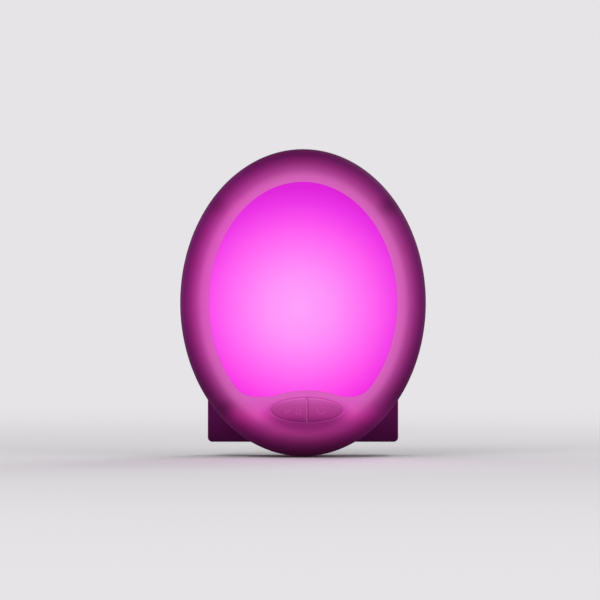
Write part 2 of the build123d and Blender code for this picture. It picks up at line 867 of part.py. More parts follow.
def make_switch_cover(side):
    low = led_front + switch_height
    high = low + switch_cover_thickness
    plate = block_of(stem_x(side), button_z, switch_side, switch_side, low, high)
    return plate - disc(stem_x(side), button_z, plunger_radius + guide_gap, low, high)


def make_switch_terminals():
    low, high = led_back - terminal_proud, led_front + terminal_rise
    return group(
        block_of(x, z, terminal_thickness, terminal_width, low, high)
        for side in sides
        for x, z in switch_terminal_places(side)
    )


pieces = {
    "front_bezel": make_bezel(),
    "diffuser_lens": make_lens(),
    "mode_button": make_button(-1, run_and_hold_sign()),
    "power_button": make_button(1, standby_sign()),
    "button_guide": make_guide(),
    "guide_screws": make_guide_screws(),
    "rear_cover": make_rear_cover(),
    "upper_case_screws": make_case_screws(upper_screw_places, block_depth + sink_depth),
    "lower_case_screws": make_case_screws(lower_screw_places, block_depth - well_floor),
    "plug_block": make_plug_block(),
    "block_screws": make_block_screws(),
    "live_blade": make_blade(-1, live_blade_width),
    "neutral_blade": make_blade(1, neutral_blade_width),
    "blade_retainer": make_retainer(),
    "retainer_screws": make_retainer_screws(),
    "driver_board": make_driver_board(),
    "driver_board_screws": make_driver_board_screws(),
    "film_capacitor": make_film_capacitor(),
    "smoothing_capacitor": make_smoothing_capacitor(),
    "bridge_rectifier": make_bridge_rectifier(),
    "fusible_resistor": make_fusible_resistor(),
    "driver_chip": make_chip(*on_driver_board(driver_chip_shares), driver_front),
    "driver_chip_legs": make_chip_legs(*on_driver_board(driver_chip_shares), driver_front),
    "link_header_pins": make_header_pins(),
    "link_header_spacer": make_header_spacer(),
    "led_board": make_led_board(),
    "led_board_screws": make_led_board_screws(),
    "led_packages": make_led_packages(),
    "led_windows": make_led_windows(),
    "led_resistors": make_led_resistors(),
    "controller_chip": make_chip(*controller_place(), led_front),
    "controller_chip_legs": make_chip_legs(*controller_place(), led_front),
    "switch_terminals": make_switch_terminals(),
}
for side, use in ((-1, "mode"), (1, "power")):
    pieces[f"{use}_switch_base"] = make_switch_base(side)
    pieces[f"{use}_switch_dome"] = make_switch_dome(side)
    pieces[f"{use}_switch_plunger"] = make_switch_plunger(side)
    pieces[f"{use}_switch_cover"] = make_switch_cover(side)

os.makedirs("parts", exist_ok=True)
for node, piece in pieces.items():
    export_step(piece, f"parts/{node}.step")
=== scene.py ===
# Plug-in night light: finishes, stage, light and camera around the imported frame. Everything is in metres.
import bpy
import math
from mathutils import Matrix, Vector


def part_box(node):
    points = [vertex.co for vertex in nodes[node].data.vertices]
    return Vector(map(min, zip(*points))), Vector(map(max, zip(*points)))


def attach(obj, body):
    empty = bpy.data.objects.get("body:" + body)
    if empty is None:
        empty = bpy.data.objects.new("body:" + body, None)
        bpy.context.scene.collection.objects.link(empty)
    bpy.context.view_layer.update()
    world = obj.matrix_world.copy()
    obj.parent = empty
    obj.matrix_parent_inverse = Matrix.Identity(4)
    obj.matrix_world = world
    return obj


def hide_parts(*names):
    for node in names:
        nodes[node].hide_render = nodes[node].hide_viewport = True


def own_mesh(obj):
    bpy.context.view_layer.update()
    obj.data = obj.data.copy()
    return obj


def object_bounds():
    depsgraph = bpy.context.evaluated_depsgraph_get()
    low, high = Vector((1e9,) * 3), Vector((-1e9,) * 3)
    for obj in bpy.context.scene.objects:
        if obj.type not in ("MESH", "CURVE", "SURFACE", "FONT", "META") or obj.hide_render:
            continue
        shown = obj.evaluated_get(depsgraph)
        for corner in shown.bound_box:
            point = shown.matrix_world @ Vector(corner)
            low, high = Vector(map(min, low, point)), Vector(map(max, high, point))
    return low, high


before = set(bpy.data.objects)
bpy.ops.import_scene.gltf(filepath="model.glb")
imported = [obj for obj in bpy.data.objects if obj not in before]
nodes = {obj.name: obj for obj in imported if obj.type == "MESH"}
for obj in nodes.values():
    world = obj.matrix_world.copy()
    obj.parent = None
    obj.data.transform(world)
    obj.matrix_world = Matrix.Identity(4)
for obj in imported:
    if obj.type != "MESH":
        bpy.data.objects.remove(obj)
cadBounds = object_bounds()
mm = 0.001
print("frame loaded,", len(nodes), "nodes")

# The case's own ellipse, read from the frame: most finishes follow it
caseLow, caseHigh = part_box("front_bezel")
caseHalfWidth = (caseHigh.x - caseLow.x) / 2
caseHalfHeight = (caseHigh.z - caseLow.z) / 2
caseCentreZ = (caseHigh.z + caseLow.z) / 2
partingY = caseHigh.y

# The buttons' opening is an ellipse too, and the shell hides the flange that they have all round
buttonFlange = 1.0 * mm
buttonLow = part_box("mode_button")[0]
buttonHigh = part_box("power_button")[1]
buttonCentreX = (buttonHigh.x + buttonLow.x) / 2
buttonCentreZ = (buttonHigh.z + buttonLow.z) / 2
buttonHalfWidth = (buttonHigh.x - buttonLow.x) / 2 - buttonFlange
buttonHalfHeight = (buttonHigh.z - buttonLow.z) / 2 - buttonFlange

noTint = (1.0, 1.0, 1.0, 1.0)  # leaves a colour as it is
mixShare, mixFrom, mixTo, mixed = 0, 6, 7, 2  # sockets of a Mix node that mixes colours


def linear(hexColour):
    channels = [int(hexColour[i:i + 2], 16) / 255 for i in (1, 3, 5)]
    return [c / 12.92 if c <= 0.04045 else ((c + 0.055) / 1.055) ** 2.4 for c in channels] + [1.0]


def perMetre(sizeMm):
    return 1 / (sizeMm * mm)


# Adds one node: inputs takes values or sockets to link, stops fill a colour ramp
def addNode(tree, kind, inputs=None, stops=None, **settings):
    node = tree.nodes.new(kind)
    for key, value in settings.items():
        setattr(node, key, value)
    for key, value in (inputs or {}).items():
        if isinstance(value, bpy.types.NodeSocket):
            tree.links.new(value, node.inputs[key])
        else:
            node.inputs[key].default_value = value
    if stops:
        ramp = node.color_ramp
        while len(ramp.elements) < len(stops):
            ramp.elements.new(1.0)
        for element, (place, hexColour) in zip(ramp.elements, stops):
            element.position = place
            element.color = linear(hexColour)
    return node


def newMaterial(name):
    material = bpy.data.materials.new(name)
    material.use_nodes = True
    tree = material.node_tree
    tree.nodes.clear()
    place = addNode(tree, "ShaderNodeTexCoord").outputs["Object"]
    return material, tree, place


def finishWith(material, *names):
    for name in names:
        nodes[name].data.materials.clear()
        nodes[name].data.materials.append(material)


# Measures the front view in an ellipse's own halves: the place there, and how far out it is, 1 at the edge
def inEllipse(tree, place, centreX, centreZ, halfX, halfZ):
    scaled = addNode(tree, "ShaderNodeMapping", {
        "Vector": place,
        "Location": (-centreX / halfX, 0, -centreZ / halfZ),
        "Scale": (1 / halfX, 0, 1 / halfZ),
    }).outputs["Vector"]
    share = addNode(tree, "ShaderNodeVectorMath", {0: scaled}, operation="LENGTH").outputs["Value"]
    return scaled, share


# Cloudy flow of the melt, faint in the shells and the block
def meltFlow(tree, place, look):
    cloud = addNode(tree, "ShaderNodeTexNoise", {"Vector": place, "Scale": perMetre(look["cloud"])})
    return addNode(tree, "ShaderNodeMapRange", {
        "Value": cloud.outputs["Fac"], "To Min": 1 - look["cloudSwing"], "To Max": 1 + look["cloudSwing"],
    }).outputs["Result"]


# Both shells turn away from the lamps at their outer edge, most of all at the top and low on the sides
edgeLook = {
    "from": 0.84, "to": 0.97,  # shares of the way to the rim
    "tints": [
        (0.0, "#E2C0D8"), (0.1, "#FFFFFF"), (0.52, "#FFFFFF"), (0.8, "#CBBCC4"), (0.86, "#FFFFFF"),
    ],  # by share of the way from the case's top to its foot
}


def edgeTint(tree, axes, rim):
    height = addNode(tree, "ShaderNodeMapRange", {
        "Value": axes.outputs["Z"],
        "From Min": caseCentreZ + caseHalfHeight, "From Max": caseCentreZ - caseHalfHeight,
    })
    tint = addNode(tree, "ShaderNodeValToRGB", {"Fac": height.outputs["Result"]}, stops=edgeLook["tints"])
    outer = addNode(tree, "ShaderNodeMapRange", {
        "Value": rim, "From Min": edgeLook["from"], "From Max": edgeLook["to"],
    })
    return addNode(tree, "ShaderNodeMix", {
        mixShare: outer.outputs["Result"], mixFrom: noTint, mixTo: tint.outputs["Color"],
    }, data_type="RGBA").outputs[mixed]


# How strongly a grain stands out, and how far it moves the roughness to either side
grainLook = {"detail": 3.0, "harshness": 0.6, "strength": 0.5, "roughSwing": 0.08}


# Moulded plastic that glows a little: part of its colour is lit by the room, part by the lamps inside.
# Its spark-eroded mould grain is drawn coarser than the real 0.05 mm so that it shows
def glowingPlastic(tree, place, colour, look):
    base = addNode(tree, "ShaderNodeVectorMath", {0: colour, "Scale": look["litPart"]}, operation="SCALE")
    grain = addNode(tree, "ShaderNodeTexNoise", {
        "Vector": place, "Scale": perMetre(look["grain"]),
        "Detail": grainLook["detail"], "Roughness": grainLook["harshness"],
    })
    bump = addNode(tree, "ShaderNodeBump", {
        "Height": grain.outputs["Fac"],
        "Strength": grainLook["strength"], "Distance": look["grainDepth"] * mm,
    })
    roughness = addNode(tree, "ShaderNodeMapRange", {
        "Value": grain.outputs["Fac"],
        "To Min": look["roughness"] - grainLook["roughSwing"],
        "To Max": look["roughness"] + grainLook["roughSwing"],
    })
    shader = addNode(tree, "ShaderNodeBsdfPrincipled", {
        "Base Color": base.outputs["Vector"], "Roughness": roughness.outputs["Result"],
        "IOR": look["ior"], "Specular IOR Level": look["gloss"], "Normal": bump.outputs["Normal"],
        "Emission Color": colour, "Emission Strength": look["glowPart"],
    })
    addNode(tree, "ShaderNodeOutputMaterial", {"Surface": shader.outputs["BSDF"]})


# Front shell: moulded translucent ABS, lit from inside, so bright beside the lens and plum at its rim.
# A gain is what red, green and blue are multiplied by, and its fourth number is alpha
bezelLook = {
    "glowStops": [
        (0.775, "#E065C6"), (0.82, "#D261B5"), (0.866, "#AF4294"),
        (0.915, "#8F2976"), (0.96, "#6C195E"), (1.0, "#601353"),
    ],  # by share of the way from the case's centre to its rim
    "footFrom": 31.0, "footTo": 50.0,  # mm below the case's centre
    "footTints": [
        (0.0, "#FFFFFF"), (0.3, "#FCD6F0"), (0.55, "#E8C4DB"), (0.8, "#B8A9AC"), (1.0, "#908E81"),
    ],  # by share of the way between those heights
    "sideTurn": 15.0, "sideFrom": 18.0, "sideTo": 36.0,  # degrees above straight left, then mm that way
    "sideGain": (1.12, 0.78, 1.1, 1.0),
    "shadeHalves": (19.2, 8.0), "shadeDrop": 2.0,  # mm across and up, and below the buttons' centre
    "shadeTints": [
        (0.3, "#B288AD"), (0.51, "#BE97BA"), (0.61, "#DAB3D6"), (0.75, "#F8E5F5"), (0.84, "#FFFFFF"),
    ],  # by share of those halves
    "lobePlace": 1.0, "lobeReach": 0.6, "lobeGain": (1.2, 1.03, 1.14, 1.0),  # in the same shares
    "lipReach": 0.5, "lipGain": (1.5, 2.2, 1.6, 1.0),  # mm
    "lipDropShare": 0.5,  # of the opening's half height, how far down the lip is lit in full
    "bossRadius": 2.6, "bossFade": 5.0,  # mm
    "bossCasts": {"upper": (1.02, 1.06), "lower": (0.955, 1.17)},  # across and up, of the screws' places
    "bossShades": {"upper": (0.78, 0.62), "lower": (0.6, 0.97)},  # left and right
    "creviceReach": 0.8, "creviceShade": 0.6, "creviceSamples": 8,  # mm
    "creviceSky": (0.3, 0.9),  # shares of open sky, from full shade to none
    "cloud": 14.0, "cloudSwing": 0.05,  # mm
    "litPart": 0.55, "glowPart": 0.5,
    "grain": 0.35, "grainDepth": 0.02, "roughness": 0.68, "ior": 1.54, "gloss": 0.03,  # grain in mm
}


# The light thins and reddens towards the foot of the case
def bezelFootTint(tree, axes):
    drop = addNode(tree, "ShaderNodeMapRange", {
        "Value": axes.outputs["Z"],
        "From Min": caseCentreZ - bezelLook["footFrom"] * mm,
        "From Max": caseCentreZ - bezelLook["footTo"] * mm,
    })
    return addNode(tree, "ShaderNodeValToRGB", {
        "Fac": drop.outputs["Result"],
    }, stops=bezelLook["footTints"]).outputs["Color"]


# The lamps' colour is deeper on the left, most of all a little above the middle
def bezelSideTint(tree, place):
    turn = math.radians(bezelLook["sideTurn"])
    leftwards = addNode(tree, "ShaderNodeVectorMath", {
        0: place, 1: (-math.cos(turn), 0, math.sin(turn)),
    }, operation="DOT_PRODUCT")
    centreLeftwards = caseCentreZ * math.sin(turn)
    beside = addNode(tree, "ShaderNodeMapRange", {
        "Value": leftwards.outputs["Value"],
        "From Min": centreLeftwards + bezelLook["sideFrom"] * mm,
        "From Max": centreLeftwards + bezelLook["sideTo"] * mm,
    })
    return addNode(tree, "ShaderNodeMix", {
        mixShare: beside.outputs["Result"], mixFrom: noTint, mixTo: bezelLook["sideGain"],
    }, data_type="RGBA").outputs[mixed]


# The buttons and their guide keep the light from the shell just below them, and on both sides of that shade
# light from the lens's lower corners reaches further out
def underButtonTints(tree, place):
    halfX, halfZ = (half * mm for half in bezelLook["shadeHalves"])
    shadeZ = buttonCentreZ - bezelLook["shadeDrop"] * mm
    under, away = inEllipse(tree, place, buttonCentreX, shadeZ, halfX, halfZ)
    shade = addNode(tree, "ShaderNodeValToRGB", {"Fac": away}, stops=bezelLook["shadeTints"])
    folded = addNode(tree, "ShaderNodeVectorMath", {0: under}, operation="ABSOLUTE")
    apart = addNode(tree, "ShaderNodeVectorMath", {
        0: folded.outputs["Vector"], 1: (bezelLook["lobePlace"], 0, 0),
    }, operation="DISTANCE")
    reach = addNode(tree, "ShaderNodeMapRange", {
        "Value": apart.outputs["Value"], "From Max": bezelLook["lobeReach"], "To Min": 1.0, "To Max": 0.0,
    }, interpolation_type="SMOOTHSTEP")
    lobe = addNode(tree, "ShaderNodeMix", {
        mixShare: reach.outputs["Result"], mixFrom: noTint, mixTo: bezelLook["lobeGain"],
    }, data_type="RGBA")
    return shade.outputs["Color"], lobe.outputs[mixed]


# The lower lip of the buttons' opening looks up at the lens and catches its light in a fine line
def openingLipTint(tree, place, axes):
    outward = inEllipse(tree, place, buttonCentreX, buttonCentreZ, buttonHalfWidth, buttonHalfHeight)[1]
    near = addNode(tree, "ShaderNodeMapRange", {
        "Value": outward,
        "From Min": 1.0 + bezelLook["lipReach"] * mm / buttonHalfHeight, "From Max": 1.0,
    }, interpolation_type="SMOOTHSTEP")
    low = addNode(tree, "ShaderNodeMapRange", {
        "Value": axes.outputs["Z"],
        "From Min": buttonCentreZ, "From Max": buttonCentreZ - buttonHalfHeight * bezelLook["lipDropShare"],
    })
    lit = addNode(tree, "ShaderNodeMath", {
        0: near.outputs["Result"], 1: low.outputs["Result"],
    }, operation="MULTIPLY")
    return addNode(tree, "ShaderNodeMix", {
        mixShare: lit.outputs["Value"], mixFrom: noTint, mixTo: bezelLook["lipGain"],
    }, data_type="RGBA").outputs[mixed]


# Four screw bosses behind the shell block some of the light, and the lamps cast their shade past the screws
def bossShades(tree, axes):
    outward = addNode(tree, "ShaderNodeMath", {0: axes.outputs["X"]}, operation="ABSOLUTE")
    folded = addNode(tree, "ShaderNodeCombineXYZ", {"X": outward.outputs["Value"], "Z": axes.outputs["Z"]})
    right = addNode(tree, "ShaderNodeMath", {0: axes.outputs["X"], 1: 0.0}, operation="GREATER_THAN")
    shades = []
    for row, (castX, castZ) in bezelLook["bossCasts"].items():
        screwLow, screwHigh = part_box(f"{row}_case_screws")
        screwX = screwHigh.x - (screwHigh.z - screwLow.z) / 2
        screwRise = (screwHigh.z + screwLow.z) / 2 - caseCentreZ
        apart = addNode(tree, "ShaderNodeVectorMath", {
            0: folded.outputs["Vector"], 1: (screwX * castX, 0, caseCentreZ + screwRise * castZ),
        }, operation="DISTANCE")
        leftShade, rightShade = bezelLook["bossShades"][row]
        darkest = addNode(tree, "ShaderNodeMapRange", {
            "Value": right.outputs["Value"], "To Min": leftShade, "To Max": rightShade,
        })
        shade = addNode(tree, "ShaderNodeMapRange", {
            "Value": apart.outputs["Value"],
            "From Min": (bezelLook["bossRadius"] - bezelLook["bossFade"] / 2) * mm,
            "From Max": (bezelLook["bossRadius"] + bezelLook["bossFade"] / 2) * mm,
            "To Min": darkest.outputs["Result"], "To Max": 1.0,
        }, interpolation_type="SMOOTHSTEP")
        shades.append(shade.outputs["Result"])
    return shades


# Painted shade in the crevices, as round the buttons: darker where little open sky is found close by
def creviceShade(tree):
    sky = addNode(tree, "ShaderNodeAmbientOcclusion", {
        "Distance": bezelLook["creviceReach"] * mm,
    }, samples=bezelLook["creviceSamples"])
    deep, clear = bezelLook["creviceSky"]
    return addNode(tree, "ShaderNodeMapRange", {
        "Value": sky.outputs["AO"], "From Min": deep, "From Max": clear,
        "To Min": bezelLook["creviceShade"], "To Max": 1.0,
    }).outputs["Result"]


def bezelFinish():
    material, tree, place = newMaterial("translucentAbsMoulded")
    axes = addNode(tree, "ShaderNodeSeparateXYZ", {"Vector": place})
    rim = inEllipse(tree, place, 0, caseCentreZ, caseHalfWidth, caseHalfHeight)[1]
    glow = addNode(tree, "ShaderNodeValToRGB", {"Fac": rim}, stops=bezelLook["glowStops"])
    colour = glow.outputs["Color"]
    tints = (
        bezelFootTint(tree, axes), bezelSideTint(tree, place), *underButtonTints(tree, place),
        openingLipTint(tree, place, axes), edgeTint(tree, axes, rim),
    )
    for tint in tints:
        colour = addNode(tree, "ShaderNodeVectorMath", {
            0: colour, 1: tint,
        }, operation="MULTIPLY").outputs["Vector"]
    level = meltFlow(tree, place, bezelLook)
    for shade in (*bossShades(tree, axes), creviceShade(tree)):
        level = addNode(tree, "ShaderNodeMath", {0: level, 1: shade}, operation="MULTIPLY").outputs["Value"]
    shaded = addNode(tree, "ShaderNodeVectorMath", {0: colour, "Scale": level}, operation="SCALE")
    glowingPlastic(tree, place, shaded.outputs["Vector"], bezelLook)
    return material


# Rear shell: the same ABS; the lamp board shades its middle, and light leaks past the board's edge
rearLook = {
    "glowStops": [
        (0.0, "#6A2260"), (0.5, "#742766"), (0.72, "#94397F"),
        (0.85, "#863075"), (0.94, "#6C1B5D"), (1.0, "#601353"),
    ],  # by share of the way from the case's centre to its rim
    "footFrom": 33.0, "footTo": 46.0, "footGlow": 0.36,  # mm below the case's centre
    "cloud": 14.0, "cloudSwing": 0.07,  # mm
    "litPart": 0.6, "glowPart": 0.45,
    "grain": 0.35, "grainDepth": 0.02, "roughness": 0.68, "ior": 1.54, "gloss": 0.03,  # grain in mm
}


def rearFinish():
    look = rearLook
    material, tree, place = newMaterial("translucentAbsSparkEroded")
    axes = addNode(tree, "ShaderNodeSeparateXYZ", {"Vector": place})
    rim = inEllipse(tree, place, 0, caseCentreZ, caseHalfWidth, caseHalfHeight)[1]
    glow = addNode(tree, "ShaderNodeValToRGB", {"Fac": rim}, stops=look["glowStops"])
    tinted = addNode(tree, "ShaderNodeVectorMath", {
        0: glow.outputs["Color"], 1: edgeTint(tree, axes, rim),
    }, operation="MULTIPLY")
    # Painted light that thins towards the foot of the case
    foot = addNode(tree, "ShaderNodeMapRange", {
        "Value": axes.outputs["Z"],
        "From Min": caseCentreZ - look["footTo"] * mm, "From Max": caseCentreZ - look["footFrom"] * mm,
        "To Min": look["footGlow"], "To Max": 1.0,
    })
    level = addNode(tree, "ShaderNodeMath", {
        0: foot.outputs["Result"], 1: meltFlow(tree, place, look),
    }, operation="MULTIPLY")
    colour = addNode(tree, "ShaderNodeVectorMath", {
        0: tinted.outputs["Vector"], "Scale": level.outputs["Value"],
    }, operation="SCALE")
    glowingPlastic(tree, place, colour.outputs["Vector"], look)
    return material


# Plug block: moulded ABS with no lamp behind it; its deep plum is painted shade tinted by the lamps' pink,
# painted a little paler where it meets the lit case
blockLook = {
    "plugShadedTone": "#400633", "caseLitTone": "#580C47",
    "cloud": 18.0, "cloudSwing": 0.1,  # mm
    "litPart": 0.95, "glowPart": 0.05,
    "grain": 0.4, "grainDepth": 0.03, "roughness": 0.6, "ior": 1.54, "gloss": 0.12,  # grain in mm
}


def blockFinish():
    look = blockLook
    material, tree, place = newMaterial("plumAbsMouldedInShade")
    blockLow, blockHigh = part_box("plug_block")
    axes = addNode(tree, "ShaderNodeSeparateXYZ", {"Vector": place})
    # Painted light: paler towards the lit case, darker towards the plug face
    depth = addNode(tree, "ShaderNodeMapRange", {
        "Value": axes.outputs["Y"], "From Min": blockHigh.y, "From Max": blockLow.y,
    })
    tone = addNode(tree, "ShaderNodeValToRGB", {"Fac": depth.outputs["Result"]}, stops=[
        (0.0, look["plugShadedTone"]), (1.0, look["caseLitTone"]),
    ])
    colour = addNode(tree, "ShaderNodeVectorMath", {
        0: tone.outputs["Color"], "Scale": meltFlow(tree, place, look),
    }, operation="SCALE")
    glowingPlastic(tree, place, colour.outputs["Vector"], look)
    return material


# Buttons: moulded ABS keys, painted with the lens's light from above; their sunk signs are thinner and
# painted paler with the light that comes through
buttonLook = {
    "glowStops": [
        (0.0, "#881C6E"), (0.14, "#952376"), (0.26, "#A82E84"),
        (0.48, "#B43D92"), (0.72, "#C148A0"), (1.0, "#D45FB8"),
    ],  # by share of the opening's height
    "signReach": 0.5, "signLitTone": "#DA61BD", "signShare": 0.5, "signSamples": 12,  # mm
    "signSky": (0.95, 0.55),  # shares of open sky, from the plain face to the sunk sign
    "edgeShade": 0.72, "edgeGlow": 1.25,  # of edges that look down, and of those that look up at the lens
    "edgeFacing": (-0.8, 0.6),  # upward part of those edges' directions
    "splitPlace": 0.45, "splitHalf": 0.3, "splitShade": 0.8,  # mm right of the middle
    "litPart": 0.55, "glowPart": 0.5,
    "grain": 0.3, "grainDepth": 0.015, "roughness": 0.5, "ior": 1.54, "gloss": 0.12,  # grain in mm
}


def buttonFinish():
    look = buttonLook
    material, tree, place = newMaterial("satinAbsMoulded")
    axes = addNode(tree, "ShaderNodeSeparateXYZ", {"Vector": place})
    height = addNode(tree, "ShaderNodeMapRange", {
        "Value": axes.outputs["Z"],
        "From Min": buttonCentreZ - buttonHalfHeight, "From Max": buttonCentreZ + buttonHalfHeight,
    })
    glow = addNode(tree, "ShaderNodeValToRGB", {"Fac": height.outputs["Result"]}, stops=look["glowStops"])
    # The sunk signs, found where the ambient occlusion sees little open sky, are painted paler with light
    sky = addNode(tree, "ShaderNodeAmbientOcclusion", {
        "Distance": look["signReach"] * mm,
    }, samples=look["signSamples"], only_local=True)
    plain, sunk = look["signSky"]
    paler = addNode(tree, "ShaderNodeMapRange", {
        "Value": sky.outputs["AO"], "From Min": plain, "From Max": sunk, "To Max": look["signShare"],
    })
    face = addNode(tree, "ShaderNodeMix", {
        mixShare: paler.outputs["Result"], mixFrom: glow.outputs["Color"], mixTo: linear(look["signLitTone"]),
    }, data_type="RGBA")
    # The rounded edge catches the lens's light along its top and loses it along its foot
    facing = addNode(tree, "ShaderNodeNewGeometry").outputs["Normal"]
    upward = addNode(tree, "ShaderNodeSeparateXYZ", {"Vector": facing}).outputs["Z"]
    lowest, highest = look["edgeFacing"]
    edge = addNode(tree, "ShaderNodeMapRange", {
        "Value": upward, "From Min": lowest, "From Max": highest,
        "To Min": look["edgeShade"], "To Max": look["edgeGlow"],
    })
    # The right half's edge at the split lies in the left half's shade
    split = addNode(tree, "ShaderNodeMath", {
        0: axes.outputs["X"], 1: buttonCentreX + look["splitPlace"] * mm, 2: look["splitHalf"] * mm,
    }, operation="COMPARE")
    shade = addNode(tree, "ShaderNodeMapRange", {
        "Value": split.outputs["Value"], "To Min": 1.0, "To Max": look["splitShade"],
    })
    level = addNode(tree, "ShaderNodeMath", {
        0: edge.outputs["Result"], 1: shade.outputs["Result"],
    }, operation="MULTIPLY")
    colour = addNode(tree, "ShaderNodeVectorMath", {
        0: face.outputs[mixed], "Scale": level.outputs["Value"],
    }, operation="SCALE")
    glowingPlastic(tree, place, colour.outputs["Vector"], look)
    return material


# Lens: frosted acrylic diffuser, brightest in front of the lamps and deeper in colour towards its edge
lensLook = {
    "heart": (-1.6, -1.7), "reach": 40.0,  # mm from the case's centre, and out from the heart
    "glowStops": [
        (0.0, "#FFA0FA"), (0.25, "#FF90F8"), (0.5, "#FF6FF3"), (0.63, "#FE59EF"),
        (0.75, "#F542EA"), (0.86, "#E92AE4"), (0.98, "#DD10D8"),
    ],  # by share of the reach
    "footFrom": 14.0, "footTo": 32.0, "footGain": (1.09, 0.93, 0.97, 1.0),  # mm below the case's centre
    "body": "#1E0A1B", "roughness": 0.5, "roughSwing": 0.06, "ior": 1.49, "gloss": 0.15,
    "frost": 0.3, "frostDepth": 0.01, "frostStrength": 0.4,  # mm, coarser than real frost so that it shows
}


def lensFinish():
    look = lensLook
    material, tree, place = newMaterial("acrylicFrosted")
    heartX, heartZ = (value * mm for value in look["heart"])
    span = look["reach"] * mm
    apart = inEllipse(tree, place, heartX, caseCentreZ + heartZ, span, span)[1]
    glow = addNode(tree, "ShaderNodeValToRGB", {"Fac": apart}, stops=look["glowStops"])
    # The light is a little warmer towards the sill
    axes = addNode(tree, "ShaderNodeSeparateXYZ", {"Vector": place})
    drop = addNode(tree, "ShaderNodeMapRange", {
        "Value": axes.outputs["Z"],
        "From Min": caseCentreZ - look["footFrom"] * mm, "From Max": caseCentreZ - look["footTo"] * mm,
    })
    tint = addNode(tree, "ShaderNodeMix", {
        mixShare: drop.outputs["Result"], mixFrom: noTint, mixTo: look["footGain"],
    }, data_type="RGBA")
    lit = addNode(tree, "ShaderNodeVectorMath", {
        0: glow.outputs["Color"], 1: tint.outputs[mixed],
    }, operation="MULTIPLY")
    frost = addNode(tree, "ShaderNodeTexNoise", {"Vector": place, "Scale": perMetre(look["frost"])})
    bump = addNode(tree, "ShaderNodeBump", {
        "Height": frost.outputs["Fac"],
        "Strength": look["frostStrength"], "Distance": look["frostDepth"] * mm,
    })
    roughness = addNode(tree, "ShaderNodeMapRange", {
        "Value": frost.outputs["Fac"],
        "To Min": look["roughness"] - look["roughSwing"], "To Max": look["roughness"] + look["roughSwing"],
    })
    shader = addNode(tree, "ShaderNodeBsdfPrincipled", {
        "Base Color": linear(look["body"]), "Roughness": roughness.outputs["Result"],
        "IOR": look["ior"], "Specular IOR Level": look["gloss"], "Normal": bump.outputs["Normal"],
        "Emission Color": lit.outputs["Vector"], "Emission Strength": 1.0,
    })
    addNode(tree, "ShaderNodeOutputMaterial", {"Surface": shader.outputs["BSDF"]})
    return material


finishWith(bezelFinish(), "front_bezel")
finishWith(rearFinish(), "rear_cover")
finishWith(blockFinish(), "plug_block")
finishWith(buttonFinish(), "mode_button", "power_button")
finishWith(lensFinish(), "diffuser_lens")
print("case finished")

# Blades: nickel-plated brass, brushed along their length; plugging in wears the tips back to the brass
bladeLook = {
    "nickel": ("#BDB8AC", "#DAD6CC"), "nickelRange": (0.3, 0.7), "brass": "#C9A45C",
    "brushWidth": 0.12, "brushLength": 9.0, "brushDepth": 0.004,  # mm, lines drawn wider than the real 0.03
    "brushDetail": 3.0, "brushStrength": 0.6,
    "wearLength": 5.0, "wearSpot": 1.6,  # mm
    "wearDetail": 4.0, "wearRange": (0.42, 0.7),
    "roughness": 0.3, "roughSwing": 0.1,
}


def bladeFinish():
    look = bladeLook
    material, tree, place = newMaterial("nickelBrassBrushed")
    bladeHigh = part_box("live_blade")[1]
    across = perMetre(look["brushWidth"])
    along = addNode(tree, "ShaderNodeMapping", {
        "Vector": place, "Scale": (across, perMetre(look["brushLength"]), across),
    })
    brush = addNode(tree, "ShaderNodeTexNoise", {
        "Vector": along.outputs["Vector"], "Scale": 1.0, "Detail": look["brushDetail"],
    })
    plate = addNode(tree, "ShaderNodeValToRGB", {
        "Fac": brush.outputs["Fac"],
    }, stops=list(zip(look["nickelRange"], look["nickel"])))
    axes = addNode(tree, "ShaderNodeSeparateXYZ", {"Vector": place})
    tip = addNode(tree, "ShaderNodeMapRange", {
        "Value": axes.outputs["Y"],
        "From Min": bladeHigh.y - look["wearLength"] * mm, "From Max": bladeHigh.y,
    }, interpolation_type="SMOOTHSTEP")
    spots = addNode(tree, "ShaderNodeTexNoise", {
        "Vector": place, "Scale": perMetre(look["wearSpot"]), "Detail": look["wearDetail"],
    })
    plated, worn = look["wearRange"]
    bare = addNode(tree, "ShaderNodeMapRange", {
        "Value": spots.outputs["Fac"], "From Min": plated, "From Max": worn,
    })
    wear = addNode(tree, "ShaderNodeMath", {
        0: tip.outputs["Result"], 1: bare.outputs["Result"],
    }, operation="MULTIPLY")
    colour = addNode(tree, "ShaderNodeMix", {
        mixShare: wear.outputs["Value"], mixFrom: plate.outputs["Color"], mixTo: linear(look["brass"]),
    }, data_type="RGBA")
    roughness = addNode(tree, "ShaderNodeMapRange", {
        "Value": brush.outputs["Fac"],
        "To Min": look["roughness"] - look["roughSwing"], "To Max": look["roughness"] + look["roughSwing"],
    })
    bump = addNode(tree, "ShaderNodeBump", {
        "Height": brush.outputs["Fac"],
        "Strength": look["brushStrength"], "Distance": look["brushDepth"] * mm,
    })
    shader = addNode(tree, "ShaderNodeBsdfPrincipled", {
        "Base Color": colour.outputs[mixed], "Metallic": 1.0, "Roughness": roughness.outputs["Result"],
        "Normal": bump.outputs["Normal"],
    })
    addNode(tree, "ShaderNodeOutputMaterial", {"Surface": shader.outputs["BSDF"]})
    return material


finishWith(bladeFinish(), "live_blade", "neutral_blade")
print("blades finished")

